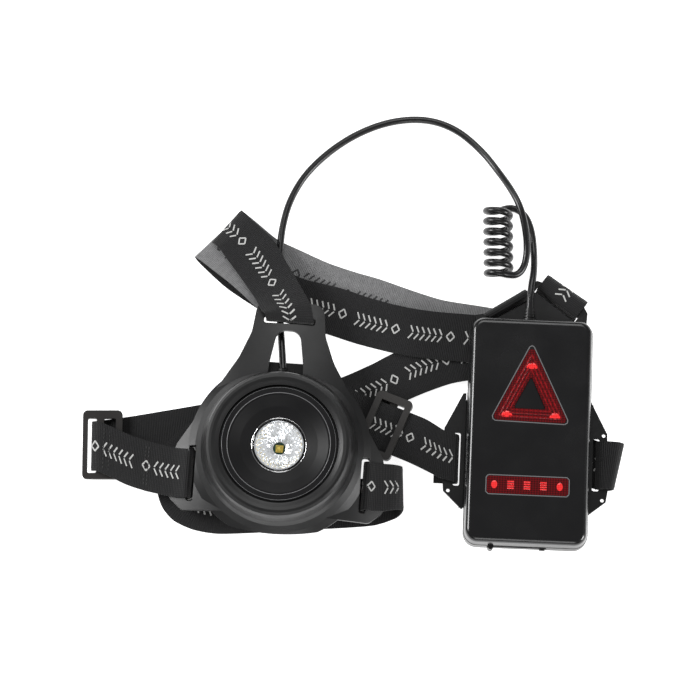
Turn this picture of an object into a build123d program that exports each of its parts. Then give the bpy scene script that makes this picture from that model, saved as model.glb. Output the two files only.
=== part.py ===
from build123d import *
import math
import os

os.makedirs("parts", exist_ok=True)

# Chest lamp head on a harness, with a rear battery and tail-light pack, laid out flat.
# Millimetres, +Z up, floor at z = 0. Lamp and pack each have their own upright frame.

LAMP_AT = (-36.0, -39.5)
LAMP_TURN = -4.2
PACK_AT = (86.5, -30.6)
PACK_TURN = -2.45

# middle of the laid-out object, measured without its cable
ORIGIN = (0.3, -1.9)

# chest plate: a thin rubber barrel with a raised collar
PLATE_TOP = 22.0
PLATE_R_ACROSS = 115.0
PLATE_R_ALONG = 320.0
PLATE_T = 2.4
PLATE_BULGE_R = 35.3
PLATE_HALF = [(16.5, 75.0), (18.3, 58.5), (23.5, 45.0), (40.5, 16.5), (51.5, -0.5), (53.5, -26.0), (46.0, -32.6)]
PLATE_FILLETS = [6.0, 14.0, 20.0, 40.0, 9.0, 5.5, 4.0]
SLOT_U = 42.6
SLOT_W = 3.6
SLOT_MID_V = -14.6
SLOT_LEN = 27.2
TAB_SLOT_V = 65.4
TAB_SLOT_SIZE = (25.6, 3.8)
COLLAR_R = 33.0
COLLAR_TOP = 34.0
LIP_R = 29.2
LIP_Z = 32.1

# eyeball head in its socket, heights w measured from the ball centre
BALL_Z = 23.1
BALL_R = 30.0
CAVITY_R = 30.4
CASE_R = 33.0
CASE_Z0 = 3.0
CASE_FLOOR = 4.5
RING_H = 8.4
SEAL_H = 0.6
SHELL_FRONT = 7.9
SHELL_BORE = 26.7
SINK_R = 13.0
SINK_BACK = -11.0
BOARD_BACK = -7.2
BOARD_FRONT = -6.0
BEZEL_R = 28.3
BEZEL_FRONT = 9.9
HOOD_SEAT_R = 24.9
LENS_R = 13.6
LENS_BACK = 4.4
LENS_FRONT = 5.5
PIN_R = 1.5
PIN_PLAY = 0.05
PIN_TIP = 32.6
LUG_R = 37.0
LUG_Z = 12.0
SCREW_R = 1.0
GLAND_U = -1.5
GLAND_Z = 12.5
CABLE_R = 1.75
BUTTON_R = 3.5
BUTTON_Z = 8.6
BUTTON_PLAY = 0.06
SWITCH_Z = 7.6
SWITCH_TOP = 8.4

# rear pack
PACK_SIZE = (61.0, 113.6)
PACK_MID_V = -0.4
PACK_CORNER = 7.0
FACE_Z = 22.5
CROWN_R = 2.8
SPLIT_Z = 15.0
BASE_Z = 6.5
SLAB_Z = 4.5
WALL = 2.4
TRIANGLE = [(0.1, 42.8), (-18.9, 4.2), (19.3, 3.4)]
ISLAND = [(0.2, 26.4), (-8.0, 10.4), (7.6, 10.2)]
BAR = (0.0, -28.0, 40.0, 8.8)
BAR_LED_STEP = 8.0
BOSS_AT = (23.6, 50.2)
WING_Z = 6.1
WING_T = 1.8
USB_U = -2.6
USB_Z = 11.5
FLAP_PIVOT = (-16.8, -57.5)
FLAP_END = 10.4
FLAP_H = 4.2
INLET_U = -1.2
INLET_Z = 12.4

# webbing
WEB_T = 1.2

# coiled part of the cable
COIL_R = 7.9
COIL_X = 72.9
COIL_Y = (47.5, 86.9)


def at_lamp(shape):
    return shape.moved(Location((LAMP_AT[0], LAMP_AT[1], 0), (0, 0, LAMP_TURN)))


def at_pack(shape):
    return shape.moved(Location((PACK_AT[0], PACK_AT[1], 0), (0, 0, PACK_TURN)))


def disc(r, z0, z1, u=0.0, v=0.0):
    return Pos(u, v, (z0 + z1) / 2) * Cylinder(r, z1 - z0)


def tube(r_out, r_in, z0, z1):
    return disc(r_out, z0, z1) - disc(r_in, z0 - 1, z1 + 1)


def block(u0, u1, v0, v1, z0, z1):
    return Pos((u0 + u1) / 2, (v0 + v1) / 2, (z0 + z1) / 2) * Box(u1 - u0, v1 - v0, z1 - z0)


def spun(points):
    face = Plane.XZ * make_face(Polyline(*points, close=True))
    return revolve(face, Axis.Z, 360)


def prism(points, z0, z1, radii=None):
    if radii is None:
        line = Polyline(*points, close=True)
    else:
        line = FilletPolyline(*points, radius=radii, close=True)
    return Pos(0, 0, z0) * extrude(make_face(line), z1 - z0)


def rounded(size, corner, z0, z1, v=0.0, taper=0.0):
    return Pos(0, v, z0) * extrude(RectangleRounded(size[0], size[1], corner), z1 - z0, taper=taper)


def rod_along_v(r, v0, v1, u, z):
    return Pos(u, (v0 + v1) / 2, z) * Rot(90, 0, 0) * Cylinder(r, v1 - v0)


def rod_along_u(r, u0, u1, z):
    return Pos((u0 + u1) / 2, 0, z) * Rot(0, 90, 0) * Cylinder(r, u1 - u0)


def solid_of(shape):
    parts = sorted(shape.solids(), key=lambda s: s.volume)
    return parts[-1]


def save(name, shape):
    shift = Location((-ORIGIN[0], -ORIGIN[1], 0))
    many = [s.moved(shift) for s in shape.solids() if s.volume > 0.02]
    out = many[0] if len(many) == 1 else Compound(children=many)
    out.label = name
    export_step(out, "parts/" + name + ".step")
    print(name, len(many), round(sum(s.volume for s in many), 1))


def barrel(drop):
    top = PLATE_TOP - drop
    r = PLATE_R_ALONG - drop
    low = PLATE_TOP - PLATE_R_ACROSS
    ends = (-75.0, 95.0)
    z = [top - r + math.sqrt(r * r - e * e) for e in ends]
    arc = ThreePointArc((ends[0], z[0]), (0, top), (ends[1], z[1]))
    rest = Polyline((ends[1], z[1]), (ends[1], low), (ends[0], low), (ends[0], z[0]))
    face = Plane.YZ * make_face(arc + rest)
    return revolve(face, Axis((0, 0, low), (0, 1, 0)), 360)


def plate_outline(z0, z1):
    right = PLATE_HALF
    left = [(-p[0], p[1]) for p in reversed(PLATE_HALF)]
    radii = PLATE_FILLETS + list(reversed(PLATE_FILLETS))
    return prism(right + left, z0, z1, radii) + disc(PLATE_BULGE_R, z0, z1)


def collar():
    foot = [(COLLAR_R, 2), (45, 2), (45, 15.0), (41.5, 17.2), (38.6, 20.0), (37.2, 23.0), (36.6, 26.5)]
    crown = [(36.2, 30.2), (35.4, 32.6), (34.2, 33.8), (33.0, COLLAR_TOP), (31.4, 33.6), (30.0, 33.0), (LIP_R, 32.7)]
    under = [(LIP_R, LIP_Z), (COLLAR_R, LIP_Z)]
    return spun(foot + crown + under)


def lug_places():
    return [(LUG_R * math.cos(math.radians(a)), LUG_R * math.sin(math.radians(a))) for a in (45, 135, 225, 315)]


def build_chest_plate():
    outer = barrel(0)
    inner = barrel(PLATE_T)
    outline = plate_outline(0, 40)
    slots = [(-SLOT_U, SLOT_MID_V, SLOT_W, SLOT_LEN), (SLOT_U, SLOT_MID_V, SLOT_W, SLOT_LEN)]
    slots.append((0, TAB_SLOT_V, TAB_SLOT_SIZE[0], TAB_SLOT_SIZE[1]))
    for u, v, du, dv in slots:
        outline = outline - Pos(u, v, -1) * extrude(RectangleRounded(du, dv, 1.3), 50)
    window = [(-9.0, 33.6), (-8.3, 43.0), (-5.6, 59.9), (5.6, 59.9), (8.3, 43.0), (9.0, 33.6)]
    outline = outline - prism(window, -1, 50, [0.8, 10.0, 5.2, 5.2, 10.0, 0.8])
    body = (outer - inner) & outline
    rim = collar() - inner
    rim = rim - block(-9, 9, 36.8, 60, 0, 30)
    for u, v, du, dv in slots[:2]:
        rim = rim - block(u - du / 2, u + du / 2, v - dv / 2, v + dv / 2, 0, 30)
    body = body + rim
    body = body - disc(COLLAR_R, 0, LIP_Z)
    for u, v in lug_places():
        body = body + (disc(2.6, LUG_Z, 20, u, v) & outer)
    for u, v in lug_places():
        body = body - disc(SCREW_R, 4, 16, u, v)
    return solid_of(body)


def build_lamp_case():
    body = disc(CASE_R, CASE_Z0, BALL_Z)
    body = body + block(-17, 17, 20, 45, CASE_Z0, 9.0)
    for k in range(6):
        body = body + block(-15 + k * 5.6, -13 + k * 5.6, 37, 44, 9.0, 9.5)
    body = body + rod_along_v(4.4, 28, 34.5, GLAND_U, GLAND_Z)
    for u, v in lug_places():
        body = body + disc(3.0, 9.4, LUG_Z, u, v)
        body = body + disc(3.0, 9.4, LUG_Z, u * 0.93, v * 0.93)
    body = body - (Pos(0, 0, BALL_Z) * Sphere(CAVITY_R) - block(-40, 40, -40, 40, -20, CASE_FLOOR))
    body = body - disc(24.5, CASE_FLOOR, 6.5)
    body = body - rod_along_u(PIN_R + PIN_PLAY, -PIN_TIP - 0.1, PIN_TIP + 0.1, BALL_Z)
    body = body - rod_along_v(2.2, 25, 35, GLAND_U, GLAND_Z)
    for u, v in lug_places():
        body = body - disc(SCREW_R, 5, LUG_Z + 1, u, v)
    body = body - rod_along_v(BUTTON_R + BUTTON_PLAY, -35, -20, 0, BUTTON_Z)
    return solid_of(body)


def build_socket_ring():
    body = disc(CASE_R - 0.1, BALL_Z, BALL_Z + RING_H) - Pos(0, 0, BALL_Z) * Sphere(CAVITY_R)
    body = body - rod_along_u(PIN_R + PIN_PLAY, -PIN_TIP - 0.1, PIN_TIP + 0.1, BALL_Z)
    return solid_of(body)


def build_head_shell():
    wall = [(14.4, SINK_BACK), (34, -1.5), (34, SHELL_FRONT), (SHELL_BORE, SHELL_FRONT), (SHELL_BORE, -2.6)]
    wall = wall + [(SINK_R, -9.4), (SINK_R, SINK_BACK)]
    body = spun(wall) & Sphere(BALL_R)
    body = Pos(0, 0, BALL_Z) * body
    body = body - rod_along_u(PIN_R, -40, 40, BALL_Z)
    return solid_of(body)


def build_bezel_ring():
    seat = [(HOOD_SEAT_R, 5.0), (26.6, 5.0), (26.6, SHELL_FRONT), (BEZEL_R, SHELL_FRONT)]
    front = [(BEZEL_R, 9.3), (27.7, BEZEL_FRONT), (25.3, BEZEL_FRONT), (HOOD_SEAT_R, 9.5)]
    return Pos(0, 0, BALL_Z) * spun(seat + front)


def build_hood():
    front = [(HOOD_SEAT_R, 9.3), (24.2, 9.3), (19.0, 7.0), (LENS_R, 5.2), (LENS_R, 2.6), (14.8, 2.6)]
    back = [(15.4, 4.2), (19.4, 5.6), (HOOD_SEAT_R, 8.0)]
    return Pos(0, 0, BALL_Z) * spun(front + back)


def build_front_lens():
    dome = [(0, LENS_BACK), (LENS_R - 0.1, LENS_BACK), (LENS_R - 0.1, 5.0), (12.6, LENS_FRONT), (0, LENS_FRONT + 0.3)]
    return Pos(0, 0, BALL_Z) * spun(dome)


def build_lens_seal():
    return Pos(0, 0, BALL_Z) * tube(LENS_R, 12.8, 3.7, LENS_BACK)


def build_reflector():
    inner = [(3.0, -4.8), (6.2, -3.4), (9.2, -0.8), (11.2, 1.9), (12.1, LENS_BACK)]
    outer = [(12.7, LENS_BACK), (12.7, 3.7), (LENS_R, 3.7), (LENS_R, 3.1), (12.2, 3.1), (11.8, 1.7)]
    outer = outer + [(9.7, -1.2), (6.5, -4.0), (3.0, -5.4)]
    return Pos(0, 0, BALL_Z) * spun(inner + outer)


def build_led_board():
    body = disc(10.0, BOARD_BACK, BOARD_FRONT)
    for u in (-7.2, 7.2):
        body = body - disc(1.0, -8, -5, u, 0)
    return Pos(0, 0, BALL_Z) * body


def build_led_emitter():
    base = block(-1.75, 1.75, -1.75, 1.75, BOARD_FRONT, -5.2)
    dome = (Pos(0, 0, -5.2) * Sphere(1.4)) & block(-3, 3, -3, 3, -5.2, 0)
    return Pos(0, 0, BALL_Z) * (base + dome)


def build_heat_sink():
    body = disc(SINK_R, -9.4, BOARD_BACK)
    body = body + disc(SINK_R, SINK_BACK, -9.4)
    for k in range(6):
        u = -10.0 + k * 4.0
        body = body - block(u - 1.0, u + 1.0, -20, 20, SINK_BACK - 1, -9.2)
    body = body + tube(SINK_R, 11.8, SINK_BACK, -9.0)
    return solid_of(Pos(0, 0, BALL_Z) * body)


def build_pivot_pins():
    left = rod_along_u(PIN_R, -PIN_TIP, -SHELL_BORE, BALL_Z)
    right = rod_along_u(PIN_R, SHELL_BORE, PIN_TIP, BALL_Z)
    return Compound(children=[left, right])


def build_driver_board():
    body = tube(23.0, 8.0, CASE_FLOOR, 5.5)
    body = body - block(-8, 8, -24, -17.5, 4, 6)
    body = body + block(-6, 6, 15.5, 20.5, 5.5, 6.4)
    body = body + block(-13, -9, 13, 17, 5.5, 6.3)
    return solid_of(body)


def build_tact_switch():
    body = rod_along_v(BUTTON_R + BUTTON_PLAY, -27.9, -26.8, 0, BUTTON_Z)
    body = body & block(-4, 4, -30, -20, 4, SWITCH_TOP)
    return solid_of(body + rod_along_v(0.8, -28.2, -27.9, 0, SWITCH_Z))


def build_power_button():
    cap = rod_along_v(BUTTON_R, -34.3, -30.2, 0, BUTTON_Z)
    return cap + rod_along_v(1.2, -30.2, -29.3, 0, SWITCH_Z)


def build_case_screws():
    screws = []
    for u, v in lug_places():
        screws.append(disc(SCREW_R, 9.4, 15.4, u, v) + disc(2.1, 8.0, 9.4, u, v))
    return Compound(children=screws)


def build_case_seal():
    return tube(32.4, 30.2, BALL_Z + RING_H, LIP_Z)


def build_lamp_gland():
    body = rod_along_v(2.2, 29.6, 34.5, GLAND_U, GLAND_Z) + rod_along_v(3.5, 34.5, 36.0, GLAND_U, GLAND_Z)
    for k in range(4):
        body = body + rod_along_v(2.9 - 0.18 * k, 36.0 + k * 1.3, 37.0 + k * 1.3, GLAND_U, GLAND_Z)
    return body + rod_along_v(2.15, 36.0, 41.0, GLAND_U, GLAND_Z)


def wing_left():
    top = [(-30.9, 19.6), (-32.4, 19.6), (-41.2, 1.8), (-41.6, -21.7), (-40.8, -29.7), (-31.9, -38.3), (-30.9, -38.3)]
    body = prism(top, WING_Z, WING_Z + WING_T)
    body = body - prism([(-36.2, -27.0), (-33.0, -27.0), (-33.0, -0.4), (-36.2, -0.4)], 4, 9, [1.0] * 4)
    return body


def wing_right():
    top = [(30.9, 17.9), (39.4, 1.8), (40.2, -27.2), (39.4, -32.2), (30.9, -39.0)]
    body = prism(top, WING_Z, WING_Z + WING_T)
    body = body - prism([(32.4, -26.9), (35.8, -26.9), (35.8, -0.6), (32.4, -0.6)], 4, 9, [1.0] * 4)
    return body


def top_tab():
    left = [(-27.6, 57.0), (-27.6, 59.6), (-24.2, 60.4), (-22.8, 59.5), (-2.6, 72.6), (0.1, 77.7)]
    right = [(2.6, 78.3), (5.7, 77.4), (8.0, 79.4), (25.6, 66.8), (28.0, 62.6), (27.6, 57.0)]
    body = prism(left + right, WING_Z, WING_Z + WING_T)
    body = body - prism([(-19.6, 56.9), (1.0, 69.2), (-0.4, 71.5), (-21.0, 59.2)], 4, 9)
    body = body - prism([(21.6, 57.9), (23.2, 60.2), (2.6, 74.9), (1.0, 72.6)], 4, 9)
    return body


def build_back_plate():
    body = rounded((60.0, 112.4), PACK_CORNER - 0.5, SLAB_Z, BASE_Z, PACK_MID_V)
    body = body + block(-32.9, 32.3, -37.5, 16.5, SLAB_Z, BASE_Z)
    body = body + block(-6, 10, 50, 64, SLAB_Z, WING_Z + 0.2)
    body = body + block(-27.6, -24.4, 48, 59.4, SLAB_Z, WING_Z + 0.2)
    body = body + block(25.0, 27.6, 48, 60.0, SLAB_Z, WING_Z + 0.2)
    body = body + wing_left() + wing_right() + top_tab()
    body = body - block(-30.8, 30.8, -60, 56.7, BASE_Z, 12)
    for su in (-1, 1):
        for sv in (-1, 1):
            u = su * BOSS_AT[0]
            v = sv * BOSS_AT[1]
            body = body - disc(1.2, 3, 9, u, v)
            body = body - disc(2.6, 4, 5.6, u, v)
    for v in (1.0, -31.4):
        body = body - disc(0.9, 5, 9, 37.6, v)
    body = body - disc(0.9, 5, 9, -38.4, -29.5)
    return solid_of(body)


def flap_space():
    pu, pv = FLAP_PIVOT
    body = block(pu, FLAP_END + 0.3, pv, pv + 1.9, USB_Z - FLAP_H / 2 - 0.2, USB_Z + FLAP_H / 2 + 0.2)
    body = body + disc(1.7, USB_Z - FLAP_H / 2 - 0.2, USB_Z + FLAP_H / 2 + 0.2, pu, pv)
    return body


def build_rear_shell():
    outer = rounded(PACK_SIZE, PACK_CORNER, BASE_Z, SPLIT_Z, PACK_MID_V)
    inner_size = (PACK_SIZE[0] - 2 * WALL, PACK_SIZE[1] - 2 * WALL)
    inner = rounded(inner_size, PACK_CORNER - WALL, BASE_Z + 1.6, SPLIT_Z + 1, PACK_MID_V)
    body = outer - inner
    body = chamfer(body.faces().sort_by(Axis.Z)[0].outer_wire().edges(), 0.8)
    pu, pv = FLAP_PIVOT
    for z0, z1 in ((8.3, 9.2), (13.8, 14.7)):
        body = body + disc(1.4, z0, z1, pu, pv) + block(pu - 1.4, pu + 1.4, pv, pv + 2.0, z0, z1)
    body = body - flap_space()
    body = body - disc(0.65, 8.6, 14.4, pu, pv)
    body = body - block(USB_U - 4.6, USB_U + 4.6, -60, -50, USB_Z - 1.7, USB_Z + 1.7)
    body = body - rod_along_v(2.3, 50, 60, INLET_U, INLET_Z)
    for su in (-1, 1):
        for sv in (-1, 1):
            body = body - disc(1.2, 5, 9, su * BOSS_AT[0], sv * BOSS_AT[1])
    return solid_of(body)


def build_pack_seal():
    size = (PACK_SIZE[0] - 1.6, PACK_SIZE[1] - 1.6)
    hole = (PACK_SIZE[0] - 2 * WALL, PACK_SIZE[1] - 2 * WALL)
    body = rounded(size, PACK_CORNER - 0.8, SPLIT_Z, SPLIT_Z + 0.5, PACK_MID_V)
    return body - rounded(hole, PACK_CORNER - WALL, SPLIT_Z - 1, SPLIT_Z + 2, PACK_MID_V)


def build_front_cover():
    z0 = SPLIT_Z + 0.5
    outer = rounded((PACK_SIZE[0] - 0.4, PACK_SIZE[1] - 0.4), PACK_CORNER - 0.2, z0, FACE_Z, PACK_MID_V, 8.5)
    outer = fillet(outer.faces().sort_by(Axis.Z)[-1].outer_wire().edges(), CROWN_R)
    hole = (PACK_SIZE[0] - 2 * WALL - 2.4, PACK_SIZE[1] - 2 * WALL - 2.4)
    body = outer - rounded(hole, PACK_CORNER - WALL, z0 - 1, FACE_Z - 1.8, PACK_MID_V)
    for su in (-1, 1):
        for sv in (-1, 1):
            u = su * BOSS_AT[0]
            v = sv * BOSS_AT[1]
            body = body + disc(2.7, BASE_Z + 1.6, FACE_Z - 1.0, u, v)
            body = body - disc(SCREW_R, 5, 16, u, v)
    body = body - prism(TRIANGLE, 16, 30, [2.0] * 3)
    body = body - Pos(BAR[0], BAR[1], 20) * extrude(RectangleRounded(BAR[2], BAR[3], 1.6), 8)
    return solid_of(body)


def build_triangle_baffle():
    return prism(ISLAND, 17.2, FACE_Z - 0.3, [0.8] * 3)


def build_triangle_lens():
    body = prism([(0.1, 42.6), (-18.7, 4.3), (19.1, 3.5)], 19.2, FACE_Z + 0.2, [1.9] * 3)
    body = body - prism([(0.2, 26.7), (-8.3, 10.2), (7.9, 10.0)], 16, 30, [0.9] * 3)
    return solid_of(body)


def build_bar_lens():
    return Pos(BAR[0], BAR[1], 19.2) * extrude(RectangleRounded(BAR[2] - 0.2, BAR[3] - 0.2, 1.5), 3.5)


def build_tail_board():
    body = block(-21.5, 21.5, -36.0, 45.0, 16.0, 17.2)
    return body


def led_block(u, v):
    return block(u - 1.6, u + 1.6, v - 1.4, v + 1.4, 17.2, 18.3) + disc(1.0, 18.3, 18.7, u, v)


def build_triangle_leds():
    return Compound(children=[led_block(0.4, 31.7), led_block(-11.3, 7.2), led_block(12.4, 7.0)])


def build_bar_leds():
    return Compound(children=[led_block(-16.3 + k * BAR_LED_STEP, BAR[1]) for k in range(5)])


def build_battery_cell():
    body = rounded((45.0, 70.0), 3.0, 9.1, 15.1, 8.0)
    return fillet(body.edges().filter_by(GeomType.LINE).group_by(Axis.Z)[0], 1.2)


def build_foam_pad():
    return block(-21, 21, -24, 40, BASE_Z + 1.6, 9.1)


def build_charge_board():
    body = block(-19, 19, -53.4, -30.0, BASE_Z + 1.6, 9.6)
    body = body + block(-12, -6, -42, -36, 9.6, 11.4) + block(6, 12, -40, -35, 9.6, 12.4)
    return body


def build_usb_socket():
    body = block(USB_U - 4.1, USB_U + 4.1, -54.6, -48.6, 9.6, 12.6)
    return body - block(USB_U - 3.5, USB_U + 3.5, -56, -50.4, 10.2, 12.0)


def build_usb_cover():
    pu, pv = FLAP_PIVOT
    z0 = USB_Z - FLAP_H / 2
    z1 = USB_Z + FLAP_H / 2
    body = disc(1.3, z0, z1, pu, pv) + disc(0.6, 8.7, 14.3, pu, pv)
    body = body + block(pu, FLAP_END, pv, pv + 1.3, z0, z1)
    body = body + block(FLAP_END - 3.2, FLAP_END - 0.6, pv - 0.6, pv, z0 + 0.7, z1 - 0.7)
    return body + block(USB_U - 2.6, USB_U + 2.6, pv + 1.3, pv + 2.2, USB_Z - 0.6, USB_Z + 0.6)


def build_pack_screws():
    screws = []
    for su in (-1, 1):
        for sv in (-1, 1):
            u = su * BOSS_AT[0]
            v = sv * BOSS_AT[1]
            screws.append(disc(2.3, 4.6, 5.6, u, v) + disc(SCREW_R, 5.6, 15.0, u, v))
    return Compound(children=screws)


def build_pack_gland():
    body = rod_along_v(2.3, 53.0, 56.4, INLET_U, INLET_Z) + rod_along_v(3.1, 56.4, 57.6, INLET_U, INLET_Z)
    body = body + rod_along_v(2.1, 57.6, 63.0, INLET_U, INLET_Z)
    for k in range(3):
        body = body + rod_along_v(2.7 - 0.15 * k, 58.2 + 1.5 * k, 59.2 + 1.5 * k, INLET_U, INLET_Z)
    return body


# Webbing: each entry is the left and the right edge of the strap at one station.
SHOULDER_STRAP = [
    # top right slot of the pack, over the bar and round its edge
    ((111.1, 28.5, 7.0), (92.1, 43.3, 7.0)),
    ((111.8, 29.4, 8.9), (92.8, 44.2, 8.9)),
    ((115.9, 34.7, 9.1), (96.4, 48.9, 9.1)),
    ((117.2, 36.4, 7.0), (97.6, 50.5, 7.0)),
    ((115.9, 34.7, 5.0), (96.4, 48.9, 5.0)),
    ((112.1, 29.9, 4.2), (92.5, 44.1, 4.2)),
    ((108.1, 23.5, 3.2), (89.1, 38.4, 3.2)),
    # long back band, inner side up, running to the far left
    ((98.1, 13.8, 2.0), (84.5, 33.7, 2.0)),
    ((84.2, 9.4, 1.0), (79.1, 32.9, 0.9)),
    ((70.0, 10.6, 0.6), (71.5, 34.8, 0.6)),
    ((58.7, 12.2, 0.6), (63.2, 36.3, 0.6)),
    ((39.2, 15.8, 0.6), (45.2, 39.3, 0.6)),
    ((23.2, 20.9, 0.6), (31.2, 43.7, 0.6)),
    ((6.7, 26.6, 0.6), (13.7, 50.0, 0.6)),
    ((-4.8, 30.1, 0.6), (2.2, 53.4, 0.6)),
    ((-20.8, 35.8, 0.6), (-11.8, 58.2, 0.6)),
    ((-35.8, 42.9, 0.6), (-26.3, 64.9, 0.6)),
    ((-52.3, 51.6, 0.6), (-37.8, 70.5, 0.6)),
    ((-63.4, 60.5, 0.6), (-48.6, 79.6, 0.6)),
    # first fold, then the front arm to the chest plate
    ((-70.6, 68.2, 3.4), (-55.8, 85.0, 3.4)),
    ((-67.3, 65.2, 6.2), (-51.8, 80.5, 6.2)),
    ((-62.9, 59.0, 7.2), (-45.0, 74.0, 7.2)),
    ((-58.0, 52.0, 8.4), (-38.8, 67.0, 8.8)),
    ((-52.6, 44.0, 9.8), (-34.0, 58.2, 10.2)),
    ((-48.2, 36.8, 12.6), (-29.0, 49.2, 12.6)),
    ((-45.6, 31.2, 16.4), (-24.6, 40.4, 15.6)),
    ((-43.6, 28.6, 18.4), (-20.6, 32.4, 18.0)),
    # down through the top slot and back under the bar
    ((-42.9, 26.8, 17.0), (-19.4, 25.1, 17.0)),
    ((-42.9, 26.0, 14.4), (-19.4, 24.3, 14.4)),
    ((-43.0, 27.2, 11.4), (-19.4, 25.7, 11.4)),
    ((-44.2, 30.0, 9.6), (-21.4, 33.0, 9.6)),
    # rear arm, inner side up
    ((-48.4, 34.0, 8.7), (-27.6, 43.2, 8.7)),
    ((-54.0, 39.6, 7.9), (-34.8, 52.4, 8.1)),
    ((-61.8, 47.0, 6.4), (-43.4, 61.6, 6.4)),
    ((-70.3, 54.0, 4.9), (-53.0, 70.2, 4.9)),
    ((-76.3, 59.0, 3.6), (-59.3, 75.9, 3.6)),
    ((-79.3, 60.9, 2.8), (-61.5, 78.2, 2.8)),
    ((-76.3, 57.4, 2.1), (-58.3, 74.2, 2.1)),
    # front-side band over the back band, to behind the pack
    ((-61.8, 44.1, 2.1), (-45.8, 62.5, 2.1)),
    ((-38.3, 29.3, 2.1), (-27.3, 50.8, 2.1)),
    ((-14.8, 22.2, 2.1), (-5.8, 45.0, 2.1)),
    ((2.2, 16.5, 2.4), (8.4, 40.0, 2.1)),
    ((19.7, 11.8, 3.4), (26.2, 35.2, 2.7)),
    ((36.7, 8.8, 3.7), (41.2, 32.7, 3.6)),
    ((57.7, 6.9, 3.6), (60.7, 31.0, 3.6)),
    ((70.7, 6.0, 3.6), (71.7, 30.2, 3.6)),
    # turned fold behind the pack
    ((80.8, 6.0, 2.9), (95.2, 28.9, 2.9)),
    ((77.9, 9.8, 2.2), (94.0, 30.3, 2.2)),
    ((72.9, 18.6, 2.2), (92.9, 30.8, 2.2)),
    ((69.9, 24.1, 3.0), (90.3, 36.1, 3.0)),
    # top left loop of the pack
    ((66.6, 29.2, 5.0), (87.3, 41.5, 5.0)),
    ((65.7, 30.7, 7.0), (86.4, 43.0, 7.0)),
    ((66.6, 29.6, 9.0), (87.3, 41.7, 9.0)),
    ((68.6, 28.9, 8.9), (87.9, 40.4, 8.9)),
    ((69.4, 28.6, 7.0), (89.0, 39.3, 7.0)),
]

LEFT_SIDE_STRAP = [
    # chest plate left slot
    ((-88.2, -38.4, 5.6), (-90.0, -62.3, 4.6)),
    ((-83.2, -38.7, 7.9), (-84.9, -62.7, 7.1)),
    ((-79.8, -38.9, 9.2), (-81.5, -62.9, 8.6)),
    ((-78.5, -39.0, 11.6), (-80.2, -63.0, 11.6)),
    ((-79.3, -39.0, 14.0), (-81.0, -63.0, 14.0)),
    ((-80.8, -38.9, 14.7), (-82.5, -62.9, 14.7)),
    ((-84.0, -38.4, 13.0), (-85.7, -62.5, 13.0)),
    ((-88.4, -37.6, 11.2), (-90.2, -61.8, 11.2)),
    # out to the left slider
    ((-100.3, -34.2, 8.9), (-102.0, -58.9, 8.6)),
    ((-109.6, -30.9, 7.9), (-111.6, -55.6, 7.6)),
    ((-118.8, -26.6, 6.9), (-119.8, -51.4, 6.9)),
    ((-125.8, -23.8, 6.5), (-126.1, -48.6, 6.5)),
    ((-128.9, -23.2, 3.9), (-129.0, -48.0, 3.9)),
    ((-125.8, -22.4, 1.4), (-125.8, -47.2, 1.4)),
    # doubled back, straight under the chest plate
    ((-113.3, -20.6, 0.8), (-112.8, -45.2, 0.8)),
    ((-96.3, -17.7, 0.6), (-94.2, -42.5, 0.6)),
    ((-76.8, -14.3, 0.6), (-73.2, -38.8, 0.6)),
    ((-48.8, -9.0, 0.6), (-45.0, -33.5, 0.6)),
    ((-21.3, -4.2, 0.6), (-17.2, -28.4, 0.6)),
    ((-6.3, -0.6, 0.6), (-0.8, -24.4, 0.6)),
    ((9.2, 6.2, 0.9), (18.2, -16.2, 0.9)),
    ((16.2, 9.8, 1.5), (26.2, -12.4, 1.3)),
    ((28.2, 15.4, 2.1), (36.2, -8.2, 2.1)),
    ((43.7, 20.2, 2.1), (49.2, -3.6, 2.1)),
    ((56.7, 22.6, 2.1), (60.2, -2.0, 2.1)),
    # turned down behind the pack to its right wing
    ((65.5, 17.5, 2.1), (61.5, -5.8, 2.0)),
    ((76.2, 3.4, 1.6), (64.8, -16.4, 0.8)),
    ((92.7, -8.6, 0.7), (76.7, -26.8, 0.7)),
    ((103.2, -19.6, 1.2), (88.7, -38.8, 1.2)),
    ((113.0, -28.4, 2.4), (103.5, -50.6, 2.4)),
    ((120.6, -32.8, 3.4), (117.4, -56.4, 3.4)),
    ((126.6, -34.6, 4.8), (124.6, -58.4, 4.8)),
    ((131.4, -34.9, 5.6), (127.2, -58.2, 5.4)),
    ((133.8, -35.0, 7.4), (128.3, -58.0, 7.2)),
    ((131.4, -34.6, 9.4), (127.0, -58.0, 9.2)),
    ((123.0, -34.0, 9.0), (121.9, -58.0, 9.0)),
    ((120.5, -34.2, 7.2), (119.5, -58.0, 7.2)),
]

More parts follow.
